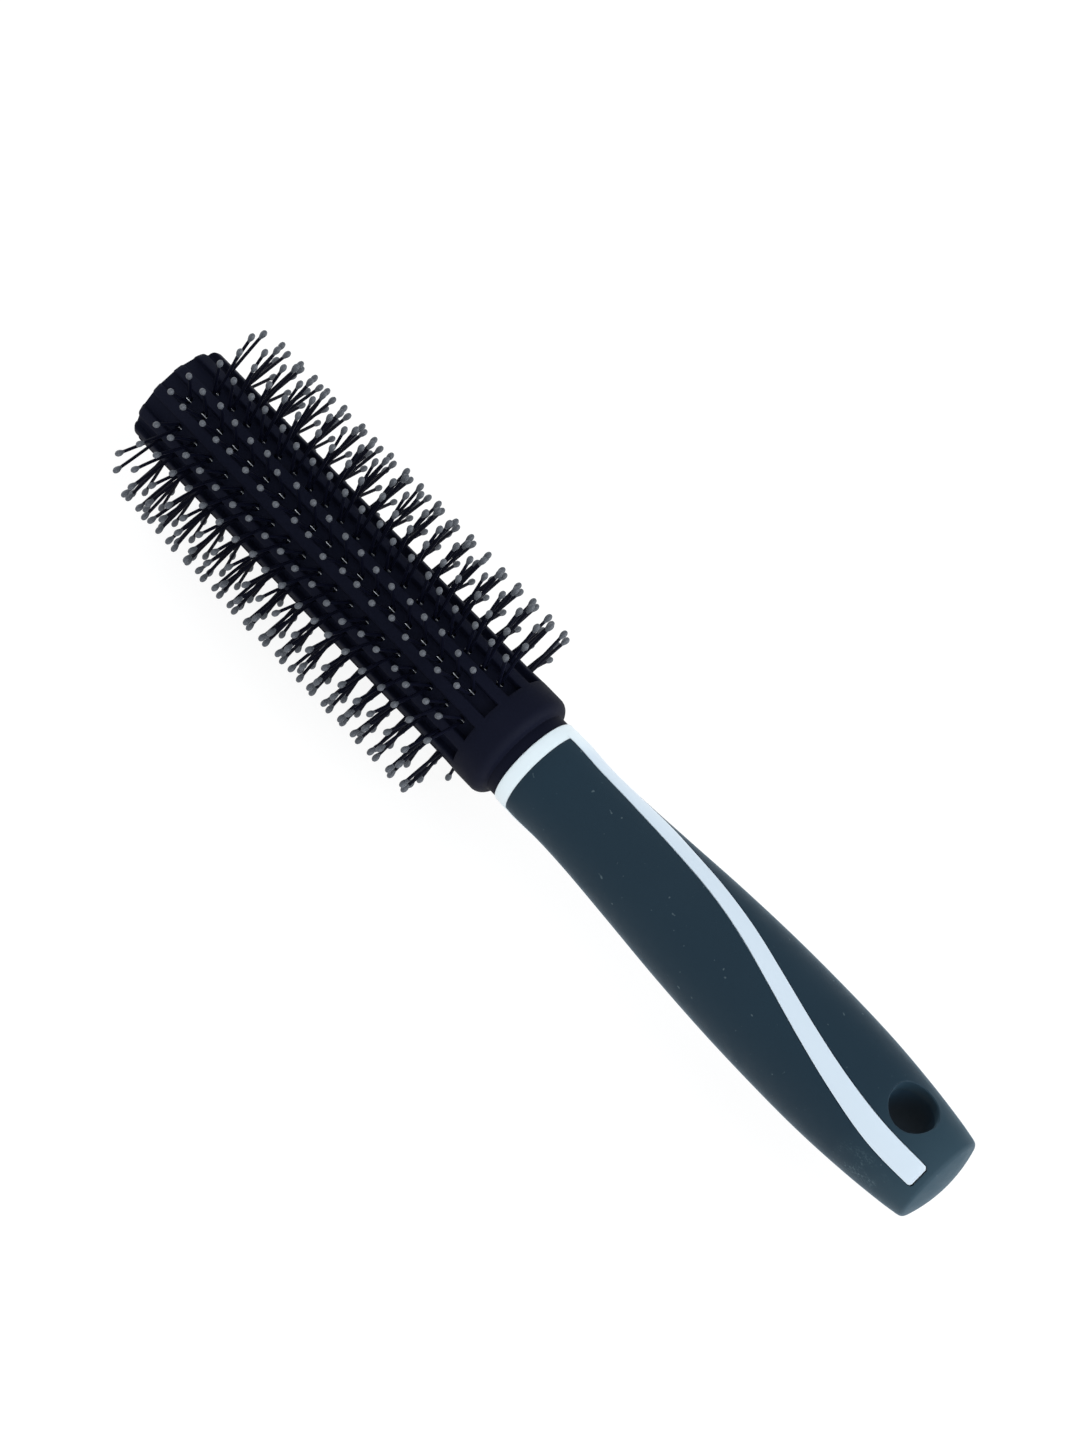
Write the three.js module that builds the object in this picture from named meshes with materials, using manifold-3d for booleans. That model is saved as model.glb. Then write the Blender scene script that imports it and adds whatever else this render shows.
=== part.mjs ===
// A round styling brush: a black ribbed barrel with ball-tipped bristles, fixed in a soft-grip handle.
// Millimetres, +Z up. The brush lies along X with its tip at -X, resting on its bristles at z = 0.
import * as THREE from "three";
import { mergeVertices } from "three/addons/utils/BufferGeometryUtils.js";
import Module from "manifold-3d";

const wasm = await Module();
wasm.setup();

// Driving dimensions. Every x below is measured from the flat tip face, and every angle from the top, towards +Y.
const LENGTH = 229;

// Barrel
const CHANNEL_COUNT = 12;
const CHANNEL_END = 99.2;
const CHANNEL_WIDTH = 3.7;
const RIB_RADIUS = { tip: 12.25, collar: 12.6 };
const FLOOR_RADIUS = { tip: 10.55, collar: 10.75 };
const TIP_ROUND = 1.4;
const COLLAR_RADIUS = 12.75;
const SHOULDER_START = 104.6;
const SHOULDER_ROUND = 2.4;
const NECK_END = 109.35;
const TANG_RADIUS = 7.0;
const TANG_END = 129;
const TANG_CHAMFER = 1;
const BARREL_BORE = { start: 6, radius: 5 };

// Bristles: folded filaments, each giving a pair of pins, one row of pairs in every channel
const PAIRS_PER_CHANNEL = 19;
const PAIR_PITCH = 4.8;
const FIRST_PAIR = { odd: 6.7, even: 9.1 };
const TIP_REACH = 22.9;
const TIP_SPREAD_DEG = 6.6;
const PIN_RADIUS = 0.4;
const BALL_RADIUS = 0.7;
const ROOT_OFFSET = 0.35;
const ROOT_DEPTH = 1.4;
const WEB = { lower: -1.7, upper: -1.1, width: 1.3, overhang: 1 };
const ANCHOR = { lower: -0.4, upper: 0.1, width: 0.24, overhang: 1.2 };
const SLOT = { depth: 2.0, width: 1.9, start: 4.5, end: 97.8 };

// Handle
const RING_START = 109.65;
const RING_END = 112.8;
const RING_RADIUS = 10.6;
const RING_CHAMFER = 0.3;
const SOCKET = { radius: 7.3, end: 129.3 };
const CORE_BORE = { radius: 5, end: 199 };
const CORE_END = 226;
const CORE_DEPTH = 1.9;
const GRIP_START = 113.1;
const GRIP_WALL = 1.6;
const GRIP_LIP_ROUND = 0.5;
const GRIP_OUTLINE = [
  [112.8, 10.66], [115.7, 10.67], [122.2, 10.34], [130.6, 10.57], [143.4, 11.43], [159.1, 12.55],
  [174.6, 13.23], [190, 13.37], [201.5, 13.11], [212.9, 12.28], [222.3, 11.17], [226.8, 10.4],
];
const BUTT_ROUND = { x: 226.45, r: 9.44, radius: 1.0 };
const BUTT_DOME_RADIUS = 30.5;
const FIT_GAP = 0.3;

// Stripes: two ridges of the core that show through the grip, half a turn apart
const STRIPE_END = 225.4;
const STRIPE_CORNER = 0.9;
const STRIPE_DEPTH = 2.6;
const STRIPE_FRONT_EDGE = [
  [112.8, 20.5], [120, 20.6], [128, 19.2], [137, 14.3], [147, 8.2], [157, 1], [167, -9], [178, -22.2],
  [190, -36], [202, -48.2], [214, -58.6], [225.4, -62],
];
const STRIPE_BACK_EDGE = [
  [112.8, 67], [125, 57], [137, 44.7], [147, 30.5], [157, 19.5], [167, 8.1], [178, -5.5], [190, -18.5],
  [202, -28.4], [214, -34], [225.4, -33.8],
];

// Hang hole, right through the handle from top to bottom
const HANG_HOLE = { x: 214.9, radius: 5.4, rimRadius: 5.7, rimDepth: 1.3, liner: 6.2 };

const BARREL_SEGMENTS = 48;
const HANDLE_SEGMENTS = 30;
const HOLE_SEGMENTS = 18;
const PIN_SIDES = 3;
const HANDLE_STEPS = { inside: 8, outside: 13 };
const STRIPE_STEPS = { along: 12, across: 2 };

const MATERIALS = {
  barrel: new THREE.MeshStandardMaterial({ color: 0x181b26, roughness: 0.5, flatShading: true }),
  bristle: new THREE.MeshStandardMaterial({ color: 0x101116, roughness: 0.3, flatShading: true }),
  anchor: new THREE.MeshStandardMaterial({ color: 0xc9ccd2, roughness: 0.25, metalness: 1, flatShading: true }),
  core: new THREE.MeshStandardMaterial({ color: 0xdfeaf3, roughness: 0.35, flatShading: true }),
  grip: new THREE.MeshStandardMaterial({ color: 0x1f2e38, roughness: 0.7, flatShading: true }),
};

// ---- Solids ----

// Joins the shared vertices of a closed geometry and drops the triangles that this leaves without an area.
function toSolid(geometry) {
  geometry.deleteAttribute("normal");
  geometry.deleteAttribute("uv");
  const merged = mergeVertices(geometry);
  const index = merged.index.array;
  const triangles = [];
  for (let i = 0; i < index.length; i += 3) {
    const [a, b, c] = index.slice(i, i + 3);
    if (a !== b && b !== c && c !== a) triangles.push(a, b, c);
  }
  return new wasm.Manifold(new wasm.Mesh({
    numProp: 3,
    vertProperties: new Float32Array(merged.attributes.position.array),
    triVerts: new Uint32Array(triangles),
  }));
}

function toGeometry(solid) {
  const { vertProperties, triVerts } = solid.getMesh();
  const geometry = new THREE.BufferGeometry();
  geometry.setAttribute("position", new THREE.BufferAttribute(vertProperties, 3));
  geometry.setIndex(new THREE.BufferAttribute(triVerts, 1));
  return geometry;
}

function joined(solids) {
  return solids.reduce((whole, solid) => whole.add(solid));
}

// Turns an outline of [x, r] points round the brush's axis. The outline starts and ends on the axis.
function turned(outline, segments) {
  const geometry = new THREE.LatheGeometry(outline.map(([x, r]) => new THREE.Vector2(r, x)), segments);
  return toSolid(geometry.rotateZ(-Math.PI / 2));
}

// Points on an arc in the outline's plane, where 90 degrees is straight out and 0 degrees is towards the butt.
function arc(x, r, radius, fromDeg, toDeg, steps) {
  return Array.from({ length: steps + 1 }, (_, i) => {
    const angle = THREE.MathUtils.degToRad(THREE.MathUtils.lerp(fromDeg, toDeg, i / steps));
    return [x + radius * Math.cos(angle), r + radius * Math.sin(angle)];
  });
}

function samples(from, to, steps) {
  return Array.from({ length: steps + 1 }, (_, i) => THREE.MathUtils.lerp(from, to, i / steps));
}

// A smooth function of x through [x, value] knots.
function smoothThrough(knots) {
  const curve = new THREE.CubicInterpolant(knots.map(([x]) => x), knots.map(([, value]) => value), 1);
  return (x) => curve.evaluate(x)[0];
}

// ---- Barrel ----

function alongBarrel({ tip, collar }, x) {
  return THREE.MathUtils.lerp(tip, collar, x / CHANNEL_END);
}

// A straight band on top of the barrel that follows the channel floor, from lower to upper above it.
function band(from, to, lower, upper, width) {
  const corners = [[from, lower], [to, lower], [to, upper], [from, upper]];
  const shape = new THREE.Shape(
    corners.map(([x, height]) => new THREE.Vector2(x, alongBarrel(FLOOR_RADIUS, x) + height)),
  );
  const geometry = new THREE.ExtrudeGeometry(shape, { depth: width, bevelEnabled: false });
  return toSolid(geometry.translate(0, 0, -width / 2).rotateX(Math.PI / 2));
}

function channelAngles() {
  return Array.from({ length: CHANNEL_COUNT }, (_, i) => (i * 360) / CHANNEL_COUNT);
}

function barrelBlank() {
  const tipRadius = RIB_RADIUS.tip - TIP_ROUND;
  const neckRadius = COLLAR_RADIUS - SHOULDER_ROUND;
  return turned([
    [0, 0],
    ...arc(TIP_ROUND, tipRadius, TIP_ROUND, 180, 90, 3),
    [CHANNEL_END, RIB_RADIUS.collar],
    [CHANNEL_END, COLLAR_RADIUS],
    ...arc(SHOULDER_START, neckRadius, SHOULDER_ROUND, 90, 0, 4),
    [NECK_END, neckRadius],
    [NECK_END, TANG_RADIUS],
    [TANG_END - TANG_CHAMFER, TANG_RADIUS],
    [TANG_END, TANG_RADIUS - TANG_CHAMFER],
    [TANG_END, BARREL_BORE.radius],
    [BARREL_BORE.start, BARREL_BORE.radius],
    [BARREL_BORE.start, 0],
  ], BARREL_SEGMENTS);
}

// The barrel's channels run out through the tip. The slot in each floor holds the roots of its bristles.
function barrel() {
  const channel = band(-1, CHANNEL_END, 0, COLLAR_RADIUS, CHANNEL_WIDTH);
  const slot = band(SLOT.start, SLOT.end, -SLOT.depth, COLLAR_RADIUS, SLOT.width);
  const cutter = channel.add(slot);
  const cutters = channelAngles().map((angle) => cutter.rotate([angle, 0, 0]));
  return barrelBlank().subtract(joined(cutters));
}

// ---- Bristles and anchors, built on top of the barrel and turned round to their channel ----

function pairPositions(firstPair) {
  return Array.from({ length: PAIRS_PER_CHANNEL }, (_, i) => firstPair + i * PAIR_PITCH);
}

// One pin: a tapering shaft that ends in a ball, from its root under the channel floor to its tip.
function pin(x, side) {
  const spread = THREE.MathUtils.degToRad(TIP_SPREAD_DEG);
  const root = new THREE.Vector3(x, side * ROOT_OFFSET, alongBarrel(FLOOR_RADIUS, x) - ROOT_DEPTH);
  const tip = new THREE.Vector3(x, side * TIP_REACH * Math.sin(spread), TIP_REACH * Math.cos(spread));
  const length = root.distanceTo(tip);
  const outline = [
    [0, 0], [PIN_RADIUS, 0], [PIN_RADIUS, length - BALL_RADIUS], [BALL_RADIUS, length], [0, length + BALL_RADIUS],
  ];
  const geometry = new THREE.LatheGeometry(outline.map(([r, y]) => new THREE.Vector2(r, y)), PIN_SIDES);
  const direction = tip.clone().sub(root).normalize();
  geometry.applyQuaternion(new THREE.Quaternion().setFromUnitVectors(new THREE.Vector3(0, 1, 0), direction));
  return toSolid(geometry.translate(root.x, root.y, root.z));
}

// All the pins of one channel, joined under its floor by a thin web.
function bristleRow(firstPair) {
  const positions = pairPositions(firstPair);
  const from = positions[0] - WEB.overhang;
  const to = positions.at(-1) + WEB.overhang;
  const web = band(from, to, WEB.lower, WEB.upper, WEB.width);
  return joined([web, ...positions.flatMap((x) => [pin(x, -1), pin(x, 1)])]);
}

// The metal that holds the bristles down runs between the two legs of every pair.
function anchorRow(firstPair) {
  const positions = pairPositions(firstPair);
  const from = positions[0] - ANCHOR.overhang;
  const to = positions.at(-1) + ANCHOR.overhang;
  return band(from, to, ANCHOR.lower, ANCHOR.upper, ANCHOR.width);
}

// ---- Handle ----

const gripRadius = smoothThrough(GRIP_OUTLINE);
const stripeFront = smoothThrough(STRIPE_FRONT_EDGE);
const stripeBack = smoothThrough(STRIPE_BACK_EDGE);

function handleCurve(from, to, steps, depth) {
  return samples(from, to, steps).map((x) => [x, gripRadius(x) - depth]);
}

// How far a stripe's corner rounding draws its edges in at x.
function cornerInset(x) {
  const into = Math.max(0, x - (STRIPE_END - STRIPE_CORNER));
  return STRIPE_CORNER - Math.sqrt(Math.max(0, STRIPE_CORNER ** 2 - into ** 2));
}

// One stripe as a block bent round the handle: depth below the grip's surface to height above it, grown by gap.
function stripe(turnDeg, depth, height, gap) {
  const xs = [
    ...samples(RING_END - GRIP_LIP_ROUND, STRIPE_END - STRIPE_CORNER, STRIPE_STEPS.along),
    ...[0.7, 1].map((part) => STRIPE_END - STRIPE_CORNER * (1 - part)),
  ];
  const geometry = new THREE.BoxGeometry(1, 1, 1, xs.length - 1, STRIPE_STEPS.across, 1).translate(0.5, 0.5, 0.5);
  const position = geometry.attributes.position;
  for (let i = 0; i < position.count; i++) {
    const x = xs[Math.round(position.getX(i) * (xs.length - 1))];
    const surface = gripRadius(x);
    const inset = THREE.MathUtils.radToDeg((cornerInset(x) - gap) / surface);
    const angleDeg = THREE.MathUtils.lerp(stripeFront(x) + inset, stripeBack(x) - inset, position.getY(i));
    const angle = THREE.MathUtils.degToRad(angleDeg + turnDeg);
    const radius = surface + THREE.MathUtils.lerp(-depth, height, position.getZ(i));
    const grown = x === STRIPE_END ? x + gap : x;
    position.setXYZ(i, grown, radius * Math.sin(angle), radius * Math.cos(angle));
  }
  return toSolid(geometry);
}

function stripes(depth, height, gap) {
  return joined([0, 180].map((turnDeg) => stripe(turnDeg, depth, height, gap)));
}

// A cutter or liner along Z through the handle at the hang hole, from an outline of [r, z] points.
function throughHandle(outline) {
  const geometry = new THREE.LatheGeometry(outline.map(([r, z]) => new THREE.Vector2(r, z)), HOLE_SEGMENTS);
  return toSolid(geometry.rotateX(Math.PI / 2).translate(HANG_HOLE.x, 0, 0));
}

function straightThroughHandle(radius) {
  const reach = LENGTH / 10;
  return throughHandle([[0, -reach], [radius, -reach], [radius, reach], [0, reach]]);
}

// The hang hole, flared where it meets the outside.
function hangHole() {
  const { radius, rimRadius, rimDepth } = HANG_HOLE;
  const surface = gripRadius(HANG_HOLE.x);
  const inside = surface - rimDepth;
  return throughHandle([
    [0, -surface - rimDepth], [rimRadius, -surface - rimDepth], [rimRadius, -surface],
    [radius, -inside], [radius, inside],
    [rimRadius, surface], [rimRadius, surface + rimDepth], [0, surface + rimDepth],
  ]);
}

// White core: the ring next to the barrel, the socket for the tang, the stripes, and a body inside the grip.
function handleCore() {
  const body = turned([
    [CORE_BORE.end, 0],
    [CORE_BORE.end, CORE_BORE.radius],
    [SOCKET.end, CORE_BORE.radius],
    [SOCKET.end, SOCKET.radius],
    [RING_START, SOCKET.radius],
    [RING_START, RING_RADIUS - RING_CHAMFER],
    [RING_START + RING_CHAMFER, RING_RADIUS],
    [RING_END, RING_RADIUS],
    ...handleCurve(RING_END, CORE_END, HANDLE_STEPS.inside, CORE_DEPTH),
    [CORE_END, 0],
  ], HANDLE_SEGMENTS);
  return body.add(stripes(STRIPE_DEPTH, 0, 0)).subtract(straightThroughHandle(HANG_HOLE.liner + FIT_GAP));
}

function gripOutside() {
  const lipRadius = gripRadius(GRIP_START) - GRIP_LIP_ROUND;
  const domeDeg = THREE.MathUtils.radToDeg(Math.asin(BUTT_ROUND.r / (BUTT_DOME_RADIUS - BUTT_ROUND.radius)));
  const domeCentre = LENGTH - BUTT_DOME_RADIUS;
  return turned([
    [GRIP_START, 0],
    ...arc(GRIP_START + GRIP_LIP_ROUND, lipRadius, GRIP_LIP_ROUND, 180, 90, 2),
    ...handleCurve(GRIP_START + 3 * GRIP_LIP_ROUND, BUTT_ROUND.x, HANDLE_STEPS.outside, 0),
    ...arc(BUTT_ROUND.x, BUTT_ROUND.r, BUTT_ROUND.radius, 75, domeDeg, 2),
    ...arc(domeCentre, 0, BUTT_DOME_RADIUS, domeDeg, 0, 3).slice(1),
  ], HANDLE_SEGMENTS);
}

// Soft grip: a sleeve over the core, closed at the butt, open over the stripes, with a liner in the hang hole.
function grip() {
  const outside = gripOutside();
  const cavityEnd = CORE_END + FIT_GAP;
  const cavity = turned([
    [GRIP_START - 1, 0],
    [GRIP_START - 1, gripRadius(GRIP_START) - GRIP_WALL],
    ...handleCurve(GRIP_START, cavityEnd, HANDLE_STEPS.inside, GRIP_WALL),
    [cavityEnd, 0],
  ], HANDLE_SEGMENTS);
  const liner = straightThroughHandle(HANG_HOLE.liner).intersect(outside);
  const slots = stripes(STRIPE_DEPTH, 1, FIT_GAP);
  return outside.subtract(cavity).subtract(slots).add(liner).subtract(hangHole());
}

// ---- Assembly ----

function part(name, geometry, material) {
  const mesh = new THREE.Mesh(geometry, material);
  mesh.name = name;
  return mesh;
}

const brush = new THREE.Group();
brush.add(part("barrel", toGeometry(barrel()), MATERIALS.barrel));

const rowGeometry = Object.fromEntries(
  Object.entries(FIRST_PAIR).map(([phase, firstPair]) => [phase, {
    bristles: toGeometry(bristleRow(firstPair)),
    anchors: toGeometry(anchorRow(firstPair)),
  }]),
);
channelAngles().forEach((angle, channel) => {
  const { bristles, anchors } = rowGeometry[channel % 2 ? "odd" : "even"];
  const number = String(channel + 1).padStart(2, "0");
  const bristleMesh = part("bristle_row_" + number, bristles, MATERIALS.bristle);
  const anchorMesh = part("anchor_row_" + number, anchors, MATERIALS.anchor);
  for (const mesh of [bristleMesh, anchorMesh]) {
    mesh.rotation.x = -THREE.MathUtils.degToRad(angle);
    brush.add(mesh);
  }
});

brush.add(part("handle_core", toGeometry(handleCore()), MATERIALS.core));
brush.add(part("grip", toGeometry(grip()), MATERIALS.grip));

// The origin is under the middle of the brush, on the surface that its lowest bristle tips touch.
const lowest = new THREE.Box3().setFromObject(brush, true).min.z;
brush.position.set(-LENGTH / 2, 0, -lowest);

export default brush;
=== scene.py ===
"""Looks for the round styling brush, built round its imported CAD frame.

The frame is in metres with +Z up. The brush lies along X with its tip at -X.
"""

import math
import random

import bmesh
import bpy
from mathutils import Matrix, Vector


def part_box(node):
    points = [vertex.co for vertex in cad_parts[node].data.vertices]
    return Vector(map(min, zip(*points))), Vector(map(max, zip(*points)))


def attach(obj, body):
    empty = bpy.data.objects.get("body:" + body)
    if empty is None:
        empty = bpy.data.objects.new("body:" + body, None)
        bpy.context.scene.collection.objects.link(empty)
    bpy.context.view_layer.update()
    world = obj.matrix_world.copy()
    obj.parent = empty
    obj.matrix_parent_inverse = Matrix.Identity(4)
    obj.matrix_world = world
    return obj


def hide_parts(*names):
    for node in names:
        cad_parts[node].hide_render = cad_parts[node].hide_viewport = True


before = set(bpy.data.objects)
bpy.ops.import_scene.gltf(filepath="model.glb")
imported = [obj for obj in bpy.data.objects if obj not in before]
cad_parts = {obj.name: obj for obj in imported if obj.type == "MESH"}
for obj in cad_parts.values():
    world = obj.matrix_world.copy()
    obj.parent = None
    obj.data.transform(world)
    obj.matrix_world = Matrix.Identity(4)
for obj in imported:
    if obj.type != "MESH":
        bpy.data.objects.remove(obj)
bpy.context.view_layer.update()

# Lengths below are in millimetres, and every x is measured from the flat tip face. Every angle round the
# brush is measured from its top, towards +Y.
MM = 0.001
BARREL_LOW, BARREL_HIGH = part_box("barrel")
GRIP_LOW, GRIP_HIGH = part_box("grip")
CORE_LOW, CORE_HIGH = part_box("handle_core")
TIP_X = BARREL_LOW.x
AXIS_Z = (BARREL_LOW.z + BARREL_HIGH.z) / 2
LENGTH = (GRIP_HIGH.x - TIP_X) / MM

# The CAD pieces stand CAD_GAP apart. Here the neck ends a JOINT_LINE before the ring, and the grip starts a
# JOINT_LINE after it.
CAD_GAP = 0.3
JOINT_LINE = 0.1

# Barrel
CHANNELS = 12
CHANNEL_STEP = math.tau / CHANNELS
CHANNEL_END = 99.2
CHANNEL_WIDTH = 3.7
FLOOR_FILLET = 0.35
RIB_EDGE = 0.32
RIB_RADIUS = (12.25, 12.6)
FLOOR_RADIUS = (10.55, 10.75)
SHALLOWEST_CHANNEL = 0.12
RIB_SECTIONS = (20, 45, 70, 92, 95, 96.5, 98)
TIP_ROUND = 1.4
COLLAR_RADIUS = (BARREL_HIGH.z - BARREL_LOW.z) / 2 / MM
COLLAR_FLARE = (95.0, 101.0)
COLLAR_SECTIONS = (101, 103)
SHOULDER_START = 104.6
SHOULDER_ROUND = 2.4
SHOULDER_FOOT = 0.2
RING_START = (CORE_LOW.x - TIP_X) / MM
NECK_INSET = 0.05
NECK_END = RING_START - JOINT_LINE
TANG_RADIUS = 7.0
TANG_CHAMFER = 1
TANG_END = (BARREL_HIGH.x - TIP_X) / MM
BORE_RADIUS = 5.0
BORE_START = 6.0

# Bristles
PAIRS = 19
PAIR_PITCH = 4.8
FIRST_PAIR = (9.1, 6.7)
TIP_REACH = 22.9
TIP_SPREAD = math.radians(6.6)
FILAMENT_RADIUS = 0.37
ROOT_SIDE = 0.45
ROOT_DEPTH = 0.3
BOW = 0.12
HOLE_RADIUS = 0.88
HOLE_DEPTH = 1.7
# (across the channel, depth below its floor) points of a filament's fold
FOLD = ((-0.42, 1.0), (0, 1.3), (0.42, 1.0))
# (along, out) points of a ball, in ball radii before it is stretched, from its neck to its round end
BALL_OUTLINE = (
    (-1.6, 0.48), (-1.2, 0.56), (-0.8, 0.78), (-0.35, 0.97), (0.1, 1.0), (0.5, 0.87), (0.84, 0.55),
)
BALL_NECK_END = -1.65
BALL_RADIUS = 0.68
BALL_STRETCH = 1.35
# Random scatter. A tip falls short of its full reach by the size of a draw, and REACH_LOSS is the mean and
# the spread of that draw.
TIP_SCATTER = 0.33
ROOT_SCATTER = 0.06
BOW_SCATTER = (0.1, 0.08)
REACH_LOSS = (0.02, 0.15)

# Anchors
ANCHOR_LENGTH = 1.8
ANCHOR_THICKNESS = 0.15
ANCHOR_HEIGHT = 0.72
ANCHOR_BEVEL = 0.03
ANCHOR_SINK = 0.2
ANCHOR_SCATTER = 0.05

# Handle
RING_END = 112.8
RING_RADIUS = 10.6
RING_ROUND = 0.3
RING_FLAT = (RING_START + 1.5, RING_END - 1)
# The ring reaches a little past its end, into the crease at the grip's lip
RING_FOOT = 0.2
RING_FOOT_INSET = 0.05
SOCKET_RADIUS = 7.3
SOCKET_END = 129.3
CORE_BORE_RADIUS = 5.0
CORE_BORE_END = 199.0
CORE_END = (CORE_HIGH.x - TIP_X) / MM
CORE_DEPTH = 1.9
GRIP_START = (GRIP_LOW.x - TIP_X) / MM - CAD_GAP + JOINT_LINE
GRIP_WALL = 1.6
GRIP_LIP = 0.5
# (x, radius) points of the handle's surface
GRIP_OUTLINE = (
    (112.8, 10.66), (115.7, 10.67), (122.2, 10.34), (130.6, 10.57), (143.4, 11.43), (159.1, 12.55),
    (174.6, 13.23), (190, 13.37), (201.5, 13.11), (212.9, 12.28), (222.3, 11.17), (226.8, 10.4),
)
BUTT_ROUND_X = 226.23
BUTT_ROUND_R = 9.15
BUTT_ROUND = 1.3
BUTT_ROUND_START_DEG = 79
BUTT_DOME = 30.5
STRIPE_START = RING_END - 1.2
STRIPE_END = 225.4
STRIPE_CORNER = 0.9
STRIPE_DEPTH = 2.6
STRIPE_EDGE = 0.12
STRIPE_SEAM = 0.11
SEAM_CHAMFER = 0.1
# (x, degrees from the top) points of the stripe's two edges
STRIPE_FRONT = (
    (112.8, 20.5), (120, 20.6), (128, 19.2), (137, 14.3), (147, 8.2), (157, 1), (167, -9), (178, -22.2),
    (190, -36), (202, -48.2), (214, -58.6), (225.4, -62),
)
STRIPE_BACK = (
    (112.8, 67), (125, 57), (137, 44.7), (147, 30.5), (157, 19.5), (167, 8.1), (178, -5.5), (190, -18.5),
    (202, -28.4), (214, -34), (225.4, -33.8),
)
HANG_HOLE_X = 214.9
HANG_HOLE_RADIUS = 5.4
HANG_HOLE_ROUND = 0.3
HANG_HOLE_RIM_TURN = math.radians(82)
HANG_HOLE_LIP = 3.0
HANG_HOLE_LIP_SLOPE = 0.2
HANG_HOLE_UNDERCUT = 0.45
LINER_RADIUS = 6.2
HANDLE_SEGMENTS = 144
INNER_SEGMENTS = 72

# Looks on the handle: the stretch along it where a colour changes, and the far and close ends of a change
# round a place
WHITER_RING = (118.5, 113.5)
# stretch where the grip turns paler towards the butt: painted light for the brighter light at the butt end
PAINTED_BUTT_LIGHT = (208.5, 226.5)
SCUFF_X = 216.0
SCUFF_Y = -11.8
SCUFF_REACH = (7.5, 1.0)
# reach of the colour painted inside the hang hole for the shade there
HOLE_SHADE_REACH = (9.9, 9.5)

# How far a cutter stands out of what it cuts
CUTTER_MARGIN = 0.2
CAVITY_MARGIN = 1
HANG_HOLE_MARGIN = 3.0
SLOT_MARGIN = 1.0

# Edges shorter than this, in metres, are closed up in the finished meshes
SMALLEST_EDGE = 0.000001


# ---- Small helpers ----


def lerp(a, b, t):
    return a + (b - a) * t


def smoothstep(low, high, x):
    t = min(1.0, max(0.0, (x - low) / (high - low)))
    return t * t * (3 - 2 * t)


def samples(start, end, steps):
    return [lerp(start, end, i / steps) for i in range(steps + 1)]


def full_turn(steps):
    return samples(0, math.tau, steps)[:-1]


def arc(x, r, radius, start_deg, end_deg, steps):
    """Points on an arc of an (x, r) outline: 90 degrees is straight out, 0 degrees is towards the butt."""
    angles = [math.radians(a) for a in samples(start_deg, end_deg, steps)]
    return [(x + radius * math.cos(a), r + radius * math.sin(a)) for a in angles]


def smooth_through(knots):
    """A smooth function through (x, value) knots, with at each knot the slope between its neighbours."""
    xs = [x for x, _ in knots]
    ys = [y for _, y in knots]
    last = len(knots) - 1
    slopes = []
    for i in range(last + 1):
        before, after = max(0, i - 1), min(last, i + 1)
        slopes.append((ys[after] - ys[before]) / (xs[after] - xs[before]))

    def value(x):
        i = max(0, min(last - 1, sum(1 for knot in xs if knot <= x) - 1))
        span = xs[i + 1] - xs[i]
        t = min(1.0, max(0.0, (x - xs[i]) / span))
        rise = ys[i + 1] - ys[i]
        a = slopes[i] * span - rise
        b = rise - slopes[i + 1] * span
        return ys[i] + rise * t + t * (1 - t) * (a * (1 - t) + b * t)

    return value


def polar(x, angle, radius):
    """A point of the brush, in millimetres from the middle of the tip face."""
    return (x, radius * math.sin(angle), radius * math.cos(angle))


def in_frame(x, y, z):
    """The place in the frame, in metres, of a point of the brush."""
    return (TIP_X + x * MM, y * MM, AXIS_Z + z * MM)


def make_object(name, points, faces):
    """A mesh object from points in millimetres of the brush, with its faces turned outwards."""
    mesh = bpy.data.meshes.new(name)
    mesh.from_pydata([in_frame(*point) for point in points], [], faces)
    b = bmesh.new()
    b.from_mesh(mesh)
    bmesh.ops.recalc_face_normals(b, faces=b.faces)
    b.to_mesh(mesh)
    b.free()
    obj = bpy.data.objects.new(name, mesh)
    bpy.context.scene.collection.objects.link(obj)
    return obj


def skin(rings, poles=(None, None)):
    """Points and faces of a closed surface through rings of points. An end with no pole is one face."""
    count = len(rings[0])
    points = [p for ring in rings for p in ring]
    faces = []
    for i in range(len(rings) - 1):
        for j in range(count):
            k = (j + 1) % count
            faces.append((i * count + j, (i + 1) * count + j, (i + 1) * count + k, i * count + k))
    for pole, start in zip(poles, (0, (len(rings) - 1) * count)):
        if pole is None:
            faces.append(tuple(range(start, start + count)))
        else:
            points.append(pole)
            faces += [(start + j, start + (j + 1) % count, len(points) - 1) for j in range(count)]
    return points, faces


def gather(shapes):
    """Joins (points, faces) shapes into one."""
    points, faces = [], []
    for shape_points, shape_faces in shapes:
        faces += [tuple(i + len(points) for i in face) for face in shape_faces]
        points += shape_points
    return points, faces


def turned(name, outline, segments):
    """A solid of revolution from an (x, r) outline that starts and ends on the axis."""
    rings = [[polar(x, a, r) for a in full_turn(segments)] for x, r in outline[1:-1]]
    poles = ((outline[0][0], 0, 0), (outline[-1][0], 0, 0))
    return make_object(name, *skin(rings, poles))


def combine(target, other, operation):
    """Joins or cuts target with other, which is used up."""
    modifier = target.modifiers.new("combine", "BOOLEAN")
    modifier.object = other
    modifier.operation = operation
    modifier.solver = "MANIFOLD"
    depsgraph = bpy.context.evaluated_depsgraph_get()
    mesh = bpy.data.meshes.new_from_object(target.evaluated_get(depsgraph))
    target.modifiers.clear()
    target.data = mesh
    bpy.data.objects.remove(other)
    return target


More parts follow.
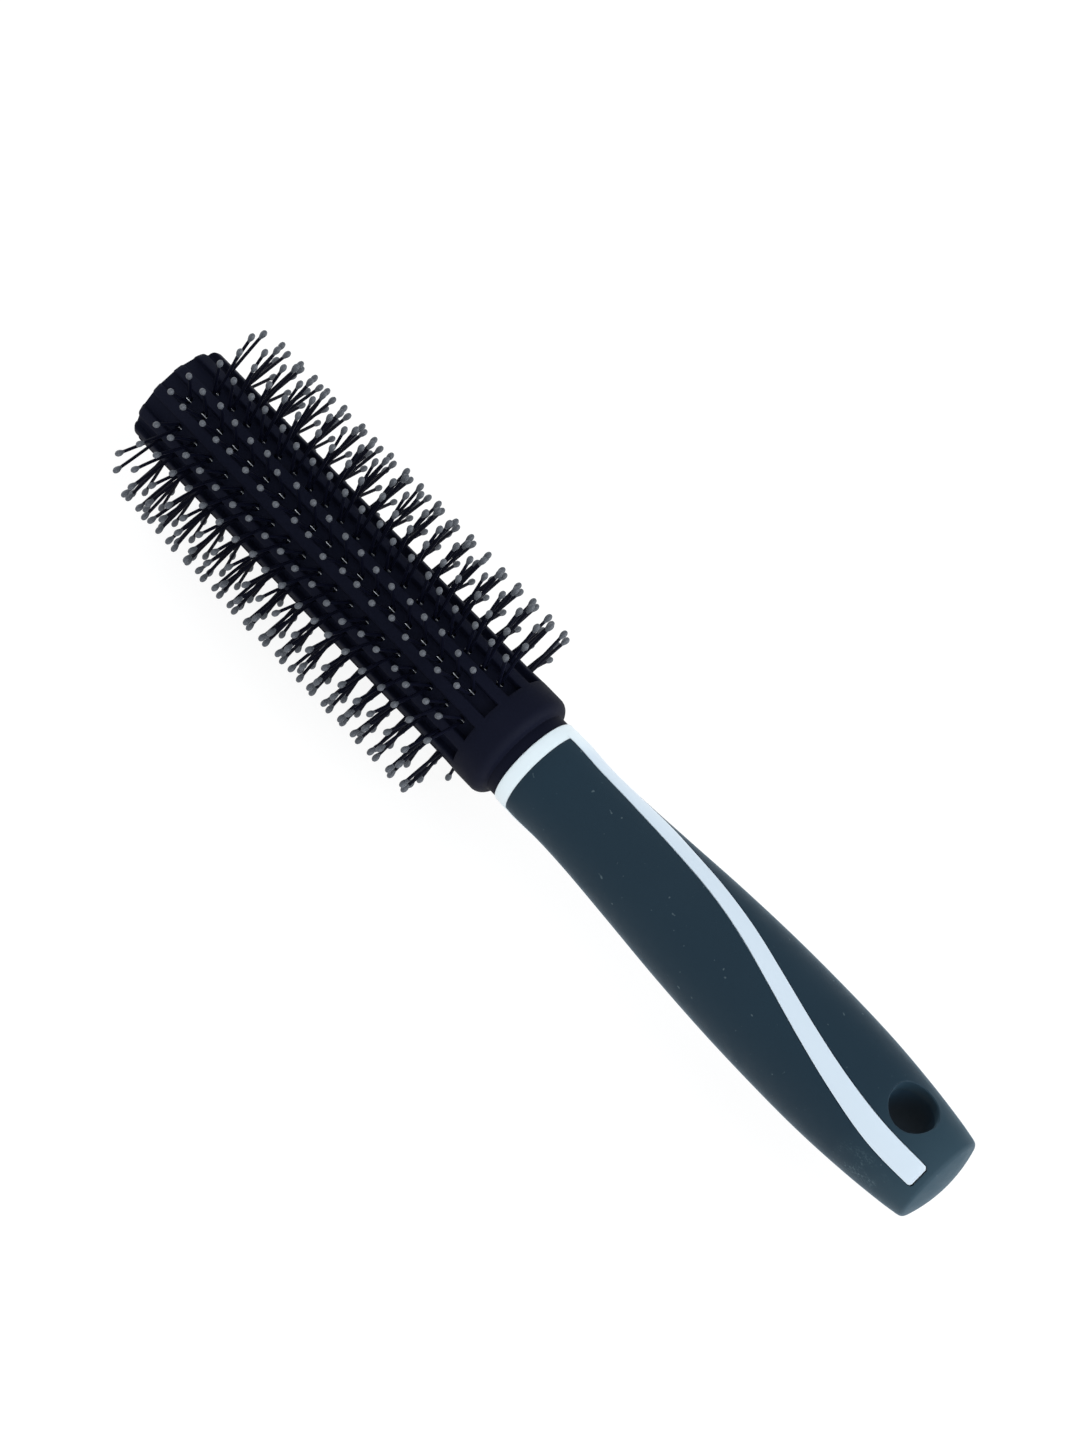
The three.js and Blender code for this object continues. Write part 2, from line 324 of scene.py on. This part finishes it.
def finish_piece(obj, material, sharp_deg, replaces=()):
    """Smooth shading with crisp edges, a material, and the piece's place in the frame."""
    mesh = obj.data
    b = bmesh.new()
    b.from_mesh(mesh)
    bmesh.ops.dissolve_degenerate(b, dist=SMALLEST_EDGE, edges=b.edges)
    b.to_mesh(mesh)
    b.free()
    mesh.polygons.foreach_set("use_smooth", [True] * len(mesh.polygons))
    mesh.set_sharp_from_angle(angle=math.radians(sharp_deg))
    mesh.materials.clear()
    mesh.materials.append(material)
    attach(obj, "root")
    if replaces:
        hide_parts(*replaces)
    return obj


# ---- Materials ----


class Shader:
    """A node material that is put together call by call. Textures use the frame's own metres."""

    def __init__(self, name):
        self.material = bpy.data.materials.new(name)
        self.material.use_nodes = True
        self.nodes = self.material.node_tree.nodes
        self.links = self.material.node_tree.links
        self.principled = self.nodes["Principled BSDF"]
        self.place = self.nodes.new("ShaderNodeTexCoord").outputs["Object"]

    def set(self, **values):
        for key, value in values.items():
            self.principled.inputs[key.replace("_", " ")].default_value = value

    def link(self, output, socket):
        self.links.new(output, self.principled.inputs[socket])

    def noise(self, size, detail=2.0, stretch=(1, 1, 1)):
        """Noise from 0 to 1 with features of about size metres, drawn out along an axis by stretch."""
        mapping = self.nodes.new("ShaderNodeMapping")
        mapping.inputs["Scale"].default_value = [1 / (size * s) for s in stretch]
        self.links.new(self.place, mapping.inputs["Vector"])
        node = self.nodes.new("ShaderNodeTexNoise")
        node.inputs["Scale"].default_value = 1.0
        node.inputs["Detail"].default_value = detail
        self.links.new(mapping.outputs["Vector"], node.inputs["Vector"])
        return node.outputs["Fac"]

    def remap(self, value, low, high, to_low=0.0, to_high=1.0):
        """to_low where value is low, to_high where it is high, and between them in between."""
        node = self.nodes.new("ShaderNodeMapRange")
        numbers = {"From Min": low, "From Max": high, "To Min": to_low, "To Max": to_high}
        for socket, number in numbers.items():
            node.inputs[socket].default_value = number
        self.links.new(value, node.inputs["Value"])
        return node.outputs["Result"]

    def times(self, a, b):
        node = self.nodes.new("ShaderNodeMath")
        node.operation = "MULTIPLY"
        self.links.new(a, node.inputs[0])
        self.links.new(b, node.inputs[1])
        return node.outputs["Value"]

    def mix(self, factor, a, b):
        """a where factor is 0, and b where it is 1. Each is a colour or another node's output."""
        node = self.nodes.new("ShaderNodeMix")
        node.data_type = "RGBA"
        self.links.new(factor, node.inputs["Factor"])
        for value, socket in ((a, node.inputs[6]), (b, node.inputs[7])):
            if isinstance(value, tuple):
                socket.default_value = (*value, 1)
            else:
                self.links.new(value, socket)
        return node.outputs[2]

    def bump(self, height, distance):
        node = self.nodes.new("ShaderNodeBump")
        node.inputs["Strength"].default_value = 1.0
        node.inputs["Distance"].default_value = distance
        self.links.new(height, node.inputs["Height"])
        self.link(node.outputs["Normal"], "Normal")

    def near(self, x, y, far, close):
        """1 within close millimetres of a point at the height of the brush's axis, falling to 0 at far."""
        node = self.nodes.new("ShaderNodeVectorMath")
        node.operation = "DISTANCE"
        self.links.new(self.place, node.inputs[0])
        node.inputs[1].default_value = in_frame(x, y, 0)
        return self.remap(node.outputs["Value"], far * MM, close * MM)

    def along(self, start, end):
        """0 at start and 1 at end, two places along the brush in millimetres, and the same beyond them."""
        node = self.nodes.new("ShaderNodeSeparateXYZ")
        self.links.new(self.place, node.inputs["Vector"])
        return self.remap(node.outputs["X"], TIP_X + start * MM, TIP_X + end * MM)


def barrel_material():
    """Satin black moulded plastic with a cool cast, a fine grain and slightly shinier patches."""
    s = Shader("barrel_plastic")
    s.set(Specular_IOR_Level=0.1, IOR=1.3)
    s.link(s.mix(s.noise(0.012), (0.0035, 0.0045, 0.0115), (0.005, 0.006, 0.014)), "Base Color")
    s.link(s.remap(s.noise(0.004, 4), 0.3, 0.7, 0.56, 0.68), "Roughness")
    s.bump(s.noise(0.00025, 2), 0.00002)
    return s.material


def filament_material():
    """Satin black nylon with a blue cast, a little uneven in colour and shine."""
    s = Shader("bristle_nylon")
    s.set(Specular_IOR_Level=0.2, IOR=1.25)
    s.link(s.mix(s.noise(0.002), (0.0015, 0.002, 0.006), (0.003, 0.0035, 0.01)), "Base Color")
    s.link(s.remap(s.noise(0.003, 1), 0.3, 0.7, 0.42, 0.52), "Roughness")
    return s.material


def ball_material():
    """Grey nylon balls, each a little lighter or darker than the next."""
    s = Shader("ball_tip")
    s.set(Specular_IOR_Level=0.4, IOR=1.35)
    s.link(s.mix(s.noise(0.003), (0.062, 0.068, 0.08), (0.083, 0.09, 0.104)), "Base Color")
    s.link(s.remap(s.noise(0.0006, 2), 0.3, 0.7, 0.38, 0.5), "Roughness")
    return s.material


def anchor_material():
    """Bright flat wire with drawing marks along it."""
    s = Shader("anchor_metal")
    s.set(Metallic=1.0)
    s.link(s.mix(s.noise(0.0004, 2, (8, 1, 1)), (0.76, 0.79, 0.84), (0.93, 0.96, 1.0)), "Base Color")
    s.link(s.remap(s.noise(0.0005, 2, (6, 1, 1)), 0.3, 0.7, 0.32, 0.42), "Roughness")
    return s.material


def core_material():
    """Satin white hard plastic with a cool cast and faint flow marks, whitest round the ring."""
    s = Shader("core_plastic")
    s.set(Specular_IOR_Level=0.45)
    stripe = s.mix(s.noise(0.03, 3, (3, 1, 1)), (0.51, 0.59, 0.665), (0.55, 0.63, 0.705))
    s.link(s.mix(s.along(*WHITER_RING), stripe, (0.645, 0.725, 0.765)), "Base Color")
    s.link(s.remap(s.noise(0.006, 4), 0.3, 0.7, 0.3, 0.42), "Roughness")
    s.bump(s.noise(0.0012, 2), 0.00001)
    return s.material


def grip_material():
    """Soft-touch rubber: matt slate green with a fine grain and dust specks.

    Painted light makes it paler towards the butt, and there is a scuff on one side. Inside the hang hole, a
    bluish colour and a rougher finish are painted in for the shade in the hole.
    """
    s = Shader("grip_rubber")
    s.set(Specular_IOR_Level=0.25, IOR=1.3)
    s.set(Sheen_Weight=0.15, Sheen_Roughness=0.3, Sheen_Tint=(0.5, 0.78, 1, 1))
    base = s.mix(s.noise(0.02, 3), (0.0085, 0.0215, 0.034), (0.0105, 0.025, 0.039))
    # painted light: the base colour turns paler towards the butt
    painted_butt_light = s.mix(s.along(*PAINTED_BUTT_LIGHT), base, (0.021, 0.044, 0.062))
    specks = s.remap(s.noise(0.0009, 0), 0.82, 0.88)
    dusty = s.mix(specks, painted_butt_light, (0.05, 0.075, 0.09))
    patch = s.times(s.near(SCUFF_X, SCUFF_Y, *SCUFF_REACH), s.remap(s.noise(0.004, 2), 0.42, 0.58))
    scuffs = s.times(patch, s.remap(s.noise(0.0003, 6, (2, 1, 1)), 0.5, 0.7))
    scuffed = s.mix(scuffs, dusty, (0.07, 0.11, 0.13))
    # painted shade: a bluish colour and a rougher finish inside the hang hole
    hole_painted_shade = s.near(HANG_HOLE_X, 0, *HOLE_SHADE_REACH)
    s.link(s.mix(hole_painted_shade, scuffed, (0.012, 0.032, 0.055)), "Base Color")
    roughness = s.remap(s.noise(0.003, 4), 0.3, 0.7, 0.5, 0.62)
    s.link(s.mix(hole_painted_shade, roughness, (0.68, 0.68, 0.68)), "Roughness")
    s.bump(s.noise(0.0002, 2), 0.000025)
    return s.material


# ---- Barrel ----


def along_barrel(ends, x):
    """A measure that goes evenly from ends[0] at the tip to ends[1] at the channels' end."""
    return lerp(ends[0], ends[1], x / CHANNEL_END)


def barrel_radius(x):
    """Radius over the ribs, which flare a little to meet the collar."""
    return lerp(along_barrel(RIB_RADIUS, x), COLLAR_RADIUS, smoothstep(*COLLAR_FLARE, x))


def half_channel(outer, floor):
    """(angle, radius) points from the middle of a channel's floor up its wall to the middle of the rib."""
    half = CHANNEL_WIDTH / 2
    fillet = min(FLOOR_FILLET, (outer - floor) / 3)
    edge = min(RIB_EDGE, (outer - floor) / 3)
    points = [(0, floor), (half / 2, floor)]
    points += [
        (half - fillet + fillet * math.sin(a), floor + fillet - fillet * math.cos(a))
        for a in samples(0, math.pi / 2, 3)
    ]
    centre = (half + edge, math.sqrt((outer - edge) ** 2 - (half + edge) ** 2))
    outward = math.atan2(centre[1], centre[0])
    points += [
        (centre[0] + edge * math.cos(a), centre[1] + edge * math.sin(a))
        for a in samples(math.pi, outward, 4)
    ]
    profile = [(math.atan2(y, z), math.hypot(y, z)) for y, z in points]
    rib = samples(profile[-1][0], CHANNEL_STEP / 2, 3)[1:]
    return profile + [(angle, outer) for angle in rib]


def barrel_ring(x, outer, floor, filled):
    """The barrel's outline at x. filled goes from 0, open channels, to 1, a plain circle."""
    half = half_channel(outer, floor)
    outline = [(-angle, radius) for angle, radius in reversed(half[1:-1])] + half
    round_angles = sorted(angle for angle, _ in outline)
    ring = []
    for channel in range(CHANNELS):
        for (angle, radius), round_angle in zip(outline, round_angles):
            turned_angle = lerp(angle, round_angle, filled) + channel * CHANNEL_STEP
            ring.append(polar(x, turned_angle, lerp(radius, outer, filled)))
    return ring


def channel_end_rings():
    """The floor curves up into the end wall, and the wall's top edge is rounded."""
    depth = barrel_radius(CHANNEL_END) - FLOOR_RADIUS[1]
    # (distance past the channel's end, height over its floor)
    steps = [
        (-FLOOR_FILLET, 0), (-0.18, 0.05), (-0.06, 0.17), (-0.02, FLOOR_FILLET),
        (0.02, depth - RIB_EDGE), (0.1, depth - 0.1), (RIB_EDGE, depth),
    ]
    rings = []
    for offset, height in steps:
        x = CHANNEL_END + offset
        rings.append(barrel_ring(x, barrel_radius(x), along_barrel(FLOOR_RADIUS, x), height / depth))
    return rings


def barrel_shell():
    """The barrel in one piece: ribs and channels, rounded tip, collar, shoulder, neck, tang and bore."""
    rings = []
    tip_outline = arc(TIP_ROUND, RIB_RADIUS[0] - TIP_ROUND, TIP_ROUND, 180, 90, 6)
    for x, outer in tip_outline:
        floor = min(outer - SHALLOWEST_CHANNEL, along_barrel(FLOOR_RADIUS, x))
        rings.append(barrel_ring(x, outer, floor, 0))
    for x in RIB_SECTIONS:
        rings.append(barrel_ring(x, barrel_radius(x), along_barrel(FLOOR_RADIUS, x), 0))
    rings += channel_end_rings()
    shoulder_foot = COLLAR_RADIUS - SHOULDER_ROUND
    neck_radius = shoulder_foot - NECK_INSET
    rest = [
        *[(x, COLLAR_RADIUS) for x in COLLAR_SECTIONS],
        *arc(SHOULDER_START, shoulder_foot, SHOULDER_ROUND, 90, 4, 9),
        (SHOULDER_START + SHOULDER_ROUND + SHOULDER_FOOT, neck_radius),
        (NECK_END, neck_radius), (NECK_END, TANG_RADIUS),
        (TANG_END - TANG_CHAMFER, TANG_RADIUS), (TANG_END, TANG_RADIUS - TANG_CHAMFER),
        (TANG_END, BORE_RADIUS), (BORE_START, BORE_RADIUS),
    ]
    angles = [math.atan2(y, z) for _, y, z in rings[-1]]
    rings += [[polar(x, a, r) for a in angles] for x, r in rest]
    return make_object("barrel_shell", *skin(rings, (None, (BORE_START, 0, 0))))


def local_point(x, across, height, channel):
    """A point of a channel, across from its middle line and at height over the brush's axis."""
    angle = channel * CHANNEL_STEP
    y = across * math.cos(angle) + height * math.sin(angle)
    z = height * math.cos(angle) - across * math.sin(angle)
    return (x, y, z)


def pair_positions(channel):
    return [FIRST_PAIR[channel % 2] + i * PAIR_PITCH for i in range(PAIRS)]


def drill_holes(barrel):
    """A blind hole in the channel floor under every bristle pair."""
    holes = []
    for channel in range(CHANNELS):
        for x in pair_positions(channel):
            floor = along_barrel(FLOOR_RADIUS, x)
            holes.append(skin([
                [
                    local_point(x + HOLE_RADIUS * math.cos(a), HOLE_RADIUS * math.sin(a), height, channel)
                    for a in full_turn(16)
                ]
                for height in (floor - HOLE_DEPTH, floor + CUTTER_MARGIN)
            ]))
    return combine(barrel, make_object("holes", *gather(holes)), "DIFFERENCE")


# ---- Bristles and anchors ----


def swept_tube(path, radius, sides):
    """Points and faces of a round tube along a path, with flat ends."""
    rings = []
    normal = None
    for i, p in enumerate(path):
        ahead = path[min(i + 1, len(path) - 1)] - path[max(i - 1, 0)]
        tangent = ahead.normalized()
        if normal is None:
            normal = tangent.orthogonal().normalized()
        normal = (normal - tangent * normal.dot(tangent)).normalized()
        binormal = tangent.cross(normal)
        rings.append([
            tuple(p + (normal * math.cos(a) + binormal * math.sin(a)) * radius) for a in full_turn(sides)
        ])
    return skin(rings)


def ball_shape(centre, direction, radius):
    """A slightly drawn-out ball with a short neck that runs back down its filament."""
    side = direction.orthogonal().normalized()
    other = direction.cross(side)
    step = direction * radius * BALL_STRETCH
    rings = []
    for along, out in BALL_OUTLINE:
        rings.append([
            tuple(centre + step * along + (side * math.cos(a) + other * math.sin(a)) * out * radius)
            for a in full_turn(12)
        ])
    return skin(rings, (tuple(centre + step * BALL_NECK_END), tuple(centre + step)))


def filament_path(x, channel, rng):
    """One folded filament: from one tip down into the hole, round the fold and up to the other tip."""
    floor = along_barrel(FLOOR_RADIUS, x)
    legs = []
    for side in (-1, 1):
        reach = TIP_REACH - BALL_RADIUS * (BALL_STRETCH - 1) - abs(rng.gauss(*REACH_LOSS))
        tip = Vector((
            x + rng.gauss(0, TIP_SCATTER),
            side * reach * math.sin(TIP_SPREAD) + rng.gauss(0, TIP_SCATTER),
            reach * math.cos(TIP_SPREAD),
        ))
        root = Vector((x + rng.gauss(0, ROOT_SCATTER), side * ROOT_SIDE, floor - ROOT_DEPTH))
        bow = Vector((rng.gauss(0, BOW_SCATTER[0]), side * BOW + rng.gauss(0, BOW_SCATTER[1]), 0))
        legs.append([root.lerp(tip, t) + bow * 4 * t * (1 - t) for t in samples(0, 1, 5)])
    fold = [Vector((x, across, floor - depth)) for across, depth in FOLD]
    path = [*reversed(legs[0]), *fold, *legs[1]]
    return [Vector(local_point(p.x, p.y, p.z, channel)) for p in path]


def anchor_shape(x, channel, rng):
    """The flat wire over the fold: a thin plate along the channel, on edge, with softened upper corners."""
    top = along_barrel(FLOOR_RADIUS, x) - ANCHOR_SINK + rng.uniform(-ANCHOR_SCATTER, ANCHOR_SCATTER)
    tilt = rng.uniform(-ANCHOR_SCATTER, ANCHOR_SCATTER)
    rings = []
    # (place along the wire as a part of its length, how far its outline is drawn in)
    for along, inset in ((-0.5, ANCHOR_BEVEL), (-0.46, 0), (0.46, 0), (0.5, ANCHOR_BEVEL)):
        side = ANCHOR_THICKNESS / 2 - inset
        upper = [(-side, top - ANCHOR_BEVEL - inset), (ANCHOR_BEVEL - side, top - inset)]
        lower = [(side, top - ANCHOR_HEIGHT), (-side, top - ANCHOR_HEIGHT)]
        outline = upper + [(-across, z) for across, z in reversed(upper)] + lower
        rings.append([
            local_point(x + along * ANCHOR_LENGTH, across, z + tilt * along, channel)
            for across, z in outline
        ])
    return skin(rings)


def bristle_rows(filament, ball, anchor):
    rng = random.Random(7)
    for channel in range(CHANNELS):
        tubes, balls, anchors = [], [], []
        for x in pair_positions(channel):
            path = filament_path(x, channel, rng)
            tubes.append(swept_tube(path, FILAMENT_RADIUS, 8))
            for tip, before in ((path[0], path[1]), (path[-1], path[-2])):
                balls.append(ball_shape(tip, (tip - before).normalized(), BALL_RADIUS))
            anchors.append(anchor_shape(x, channel, rng))
        number = f"{channel + 1:02d}"
        tube_piece = make_object("bristles_" + number, *gather(tubes))
        finish_piece(tube_piece, filament, 60, ["bristle_row_" + number])
        finish_piece(make_object("ball_tips_" + number, *gather(balls)), ball, 60)
        anchor_piece = make_object("anchors_" + number, *gather(anchors))
        finish_piece(anchor_piece, anchor, 30, ["anchor_row_" + number])


# ---- Handle ----

grip_radius = smooth_through(GRIP_OUTLINE)
stripe_front = smooth_through(STRIPE_FRONT)
stripe_back = smooth_through(STRIPE_BACK)


def handle_curve(start, end, steps, depth=0.0):
    return [(x, grip_radius(x) - depth) for x in samples(start, end, steps)]


def corner_inset(x):
    """How far the rounded corners at a stripe's end draw its edges in."""
    into = max(0.0, x - (STRIPE_END - STRIPE_CORNER))
    return STRIPE_CORNER - math.sqrt(max(0.0, STRIPE_CORNER**2 - into**2))


def stripe_block(name, turn, section):
    """A block that follows a stripe. section gives (widening, height over the grip) points up one side."""
    xs = samples(STRIPE_START, STRIPE_END - STRIPE_CORNER, 90)
    xs += [STRIPE_END - STRIPE_CORNER * (1 - math.sin(a)) for a in samples(0, math.pi / 2, 8)[1:]]
    across_steps = 14
    end_gap = section[-1][0]
    rings = []
    for x in xs:
        surface = grip_radius(x)
        front, back = math.radians(stripe_front(x)), math.radians(stripe_back(x))
        inset = corner_inset(x)
        up = [(front + (inset - widen) / surface, surface + height) for widen, height in section]
        down = [(back - (inset - widen) / surface, surface + height) for widen, height in reversed(section)]
        top = [(a, up[-1][1]) for a in samples(up[-1][0], down[0][0], across_steps)[1:-1]]
        bottom = [(a, up[0][1]) for a in samples(down[-1][0], up[0][0], across_steps)[1:-1]]
        grown = x + end_gap * smoothstep(STRIPE_END - STRIPE_CORNER, STRIPE_END, x)
        rings.append([polar(grown, angle + turn, radius) for angle, radius in up + top + down + bottom])
    return make_object(name, *skin(rings))


def both_stripes(section):
    first = stripe_block("stripe", 0, section)
    return combine(first, stripe_block("stripe_back", math.pi, section), "UNION")


def straight_through(name, radius):
    """A round bar along Z through the handle at the hang hole."""
    reach = COLLAR_RADIUS * 1.6
    rings = [
        [(HANG_HOLE_X + radius * math.cos(a), radius * math.sin(a), z) for a in full_turn(64)]
        for z in (-reach, reach)
    ]
    return make_object(name, *skin(rings))


def hang_hole_cutter():
    """The hang hole, with rounded rims that follow the curve of the handle and a slightly wider middle."""
    mouth = HANG_HOLE_RADIUS + HANG_HOLE_ROUND

    def surface_height(a):
        """Height of the handle's surface over its axis, beside the hole's mouth."""
        radius = grip_radius(HANG_HOLE_X + mouth * math.cos(a))
        return math.sqrt(radius**2 - (mouth * math.sin(a)) ** 2)

    def ring(out, lift):
        return [
            (HANG_HOLE_X + out * math.cos(a), out * math.sin(a), surface_height(a) + lift)
            for a in full_turn(96)
        ]

    inner = HANG_HOLE_RADIUS + HANG_HOLE_UNDERCUT
    upper = [ring(inner, -HANG_HOLE_LIP - HANG_HOLE_LIP_SLOPE), ring(HANG_HOLE_RADIUS, -HANG_HOLE_LIP)]
    for turn in samples(0, HANG_HOLE_RIM_TURN, 8):
        out = HANG_HOLE_RADIUS + HANG_HOLE_ROUND * (1 - math.cos(turn))
        upper.append(ring(out, HANG_HOLE_ROUND * (math.sin(turn) - 1)))
    upper.append(ring(out, HANG_HOLE_MARGIN))
    lower = [[(x, y, -z) for x, y, z in points] for points in reversed(upper)]
    return make_object("hang_hole_cutter", *skin(lower + upper))


def handle_core():
    """White core: the ring, the socket for the tang, both stripes, and its body inside the grip."""
    ring_foot = RING_END + RING_FOOT
    body = turned("core_shell", [
        (CORE_BORE_END, 0), (CORE_BORE_END, CORE_BORE_RADIUS), (SOCKET_END, CORE_BORE_RADIUS),
        (SOCKET_END, SOCKET_RADIUS), (RING_START, SOCKET_RADIUS),
        *arc(RING_START + RING_ROUND, RING_RADIUS - RING_ROUND, RING_ROUND, 180, 90, 4),
        *[(x, RING_RADIUS) for x in RING_FLAT],
        (ring_foot, RING_RADIUS - RING_FOOT_INSET), (ring_foot, grip_radius(RING_END) - CORE_DEPTH),
        *handle_curve(RING_END + 1, CORE_END, 24, CORE_DEPTH), (CORE_END, 0),
    ], HANDLE_SEGMENTS)
    stripe_section = [
        (0, -STRIPE_DEPTH), (0, -STRIPE_EDGE), (-STRIPE_EDGE / 3, -STRIPE_EDGE / 4), (-STRIPE_EDGE, 0),
    ]
    combine(body, both_stripes(stripe_section), "UNION")
    return combine(body, straight_through("core_hole", LINER_RADIUS + CAD_GAP), "DIFFERENCE")


def grip_sleeve():
    """Soft grip: a sleeve over the core, closed at the butt, with slots for the stripes and a hang hole."""
    lip_radius = grip_radius(GRIP_START) - GRIP_LIP
    surface_end = BUTT_ROUND_X - 0.1
    dome_deg = math.degrees(math.asin(BUTT_ROUND_R / (BUTT_DOME - BUTT_ROUND)))
    sleeve = turned("grip_sleeve", [
        (GRIP_START, 0),
        *arc(GRIP_START + GRIP_LIP, lip_radius, GRIP_LIP, 180, 90, 6),
        *handle_curve(GRIP_START + 2 * GRIP_LIP, surface_end, 80),
        *arc(BUTT_ROUND_X, BUTT_ROUND_R, BUTT_ROUND, BUTT_ROUND_START_DEG, dome_deg, 8),
        *arc(LENGTH - BUTT_DOME, 0, BUTT_DOME, dome_deg, 0, 14)[1:],
    ], HANDLE_SEGMENTS)
    cavity_start = GRIP_START - CAVITY_MARGIN
    cavity_end = CORE_END + CAD_GAP
    cavity = turned("cavity", [
        (cavity_start, 0), (cavity_start, grip_radius(GRIP_START) - GRIP_WALL),
        *handle_curve(GRIP_START, cavity_end, 24, GRIP_WALL), (cavity_end, 0),
    ], INNER_SEGMENTS)
    liner_limit = turned("liner_limit", [
        (GRIP_START, 0), *handle_curve(GRIP_START + 1, cavity_end, 24, GRIP_WALL / 2), (cavity_end, 0),
    ], INNER_SEGMENTS)
    liner = combine(straight_through("liner", LINER_RADIUS), liner_limit, "INTERSECT")
    seam, chamfer = STRIPE_SEAM, SEAM_CHAMFER
    slot_section = [
        (seam, -STRIPE_DEPTH), (seam, -chamfer),
        (seam + chamfer * 0.9, 0.02), (seam + chamfer, SLOT_MARGIN),
    ]
    combine(sleeve, cavity, "DIFFERENCE")
    combine(sleeve, both_stripes(slot_section), "DIFFERENCE")
    combine(sleeve, liner, "UNION")
    return combine(sleeve, hang_hole_cutter(), "DIFFERENCE")


# ---- Stage, lights and camera ----

# AIM_X and AIM_ACROSS are in millimetres, CAMERA_DISTANCE and FLOOR_REACH in metres.
CAMERA_TILT = math.radians(14)
CAMERA_ROLL = math.radians(35)
IMAGE_ANGLE = math.radians(45.83)
LENS_MM = 115
CAMERA_DISTANCE = 0.9308
AIM_X = 104.5
AIM_ACROSS = 6.85
BUTT_END_LIGHT = 4.0
TIP_END_LIGHT = 2.6
HORIZON_LIGHT = 0.8
OVERHEAD_LIGHT = 0.4
# Where the lights fade, in parts of a unit direction along X for the ends and along Z for the horizon
END_FADE = (0.3, 0.85)
HORIZON_FADE = (0.05, 0.3)
FLOOR_REACH = 6


def add_camera():
    """Looks down at the brush's side, a little from the handle's end, and turned so that it lies aslant."""
    axis = Vector((1, 0, 0))
    back = Vector((
        math.sin(CAMERA_TILT),
        -math.cos(CAMERA_TILT) * math.sin(CAMERA_ROLL),
        math.cos(CAMERA_TILT) * math.cos(CAMERA_ROLL),
    ))
    along = (axis - back * axis.dot(back)).normalized()
    across = back.cross(along)
    right = along * math.cos(IMAGE_ANGLE) + across * math.sin(IMAGE_ANGLE)
    up = across * math.cos(IMAGE_ANGLE) - along * math.sin(IMAGE_ANGLE)
    data = bpy.data.cameras.new("camera")
    data.sensor_width = 36
    data.lens = LENS_MM
    data.clip_start = 0.01
    data.clip_end = 20
    camera = bpy.data.objects.new("camera", data)
    target = Vector(in_frame(AIM_X, 0, 0)) + across * AIM_ACROSS * MM
    rotation = Matrix((right, up, back)).transposed()
    camera.matrix_world = Matrix.Translation(target + back * CAMERA_DISTANCE) @ rotation.to_4x4()
    bpy.context.scene.collection.objects.link(camera)
    bpy.context.scene.camera = camera


def add_floor():
    mesh = bpy.data.meshes.new("floor")
    corners = [(x * FLOOR_REACH, y * FLOOR_REACH, 0) for x, y in ((-1, -1), (1, -1), (1, 1), (-1, 1))]
    mesh.from_pydata(corners, [], [(0, 1, 2, 3)])
    floor = bpy.data.objects.new("floor", mesh)
    bpy.context.scene.collection.objects.link(floor)
    s = Shader("floor")
    s.set(Base_Color=(0.14, 0.14, 0.14, 1), Roughness=0.9, Specular_IOR_Level=0.1)
    s.set(Emission_Color=(1, 1, 1, 1), Emission_Strength=0.89)
    mesh.materials.append(s.material)


def add_lights():
    """A white studio: brightest beyond both ends of the brush, then round the horizon, then overhead."""
    world = bpy.data.worlds.new("studio")
    bpy.context.scene.world = world
    world.use_nodes = True
    nodes, links = world.node_tree.nodes, world.node_tree.links
    direction = nodes.new("ShaderNodeTexCoord").outputs["Generated"]
    parts = nodes.new("ShaderNodeSeparateXYZ")
    links.new(direction, parts.inputs["Vector"])

    def math_node(operation, a, b=None):
        node = nodes.new("ShaderNodeMath")
        node.operation = operation
        for value, socket in ((a, node.inputs[0]), (b, node.inputs[1])):
            if isinstance(value, (int, float)):
                socket.default_value = value
            elif value is not None:
                links.new(value, socket)
        return node.outputs["Value"]

    def ramp(value, start, end, low, high):
        node = nodes.new("ShaderNodeMapRange")
        node.interpolation_type = "SMOOTHSTEP"
        numbers = {"From Min": start, "From Max": end, "To Min": low, "To Max": high}
        for socket, number in numbers.items():
            node.inputs[socket].default_value = number
        links.new(value, node.inputs["Value"])
        return node.outputs["Result"]

    fade_start, fade_end = END_FADE
    butt_end = ramp(parts.outputs["X"], fade_start, fade_end, OVERHEAD_LIGHT, BUTT_END_LIGHT)
    tip_end = ramp(parts.outputs["X"], -fade_start, -fade_end, OVERHEAD_LIGHT, TIP_END_LIGHT)
    ends = math_node("MAXIMUM", butt_end, tip_end)
    horizon = ramp(math_node("ABSOLUTE", parts.outputs["Z"]), *HORIZON_FADE, HORIZON_LIGHT, 0)
    background = nodes["Background"]
    background.inputs["Color"].default_value = (0.95, 0.98, 1, 1)
    links.new(math_node("MAXIMUM", ends, horizon), background.inputs["Strength"])


def build():
    scene = bpy.context.scene
    scene.view_settings.view_transform = "Standard"
    add_camera()
    barrel = drill_holes(barrel_shell())
    finish_piece(barrel, barrel_material(), 40, ["barrel"])
    bristle_rows(filament_material(), ball_material(), anchor_material())
    finish_piece(handle_core(), core_material(), 40, ["handle_core"])
    finish_piece(grip_sleeve(), grip_material(), 40, ["grip"])
    add_floor()
    add_lights()


build()
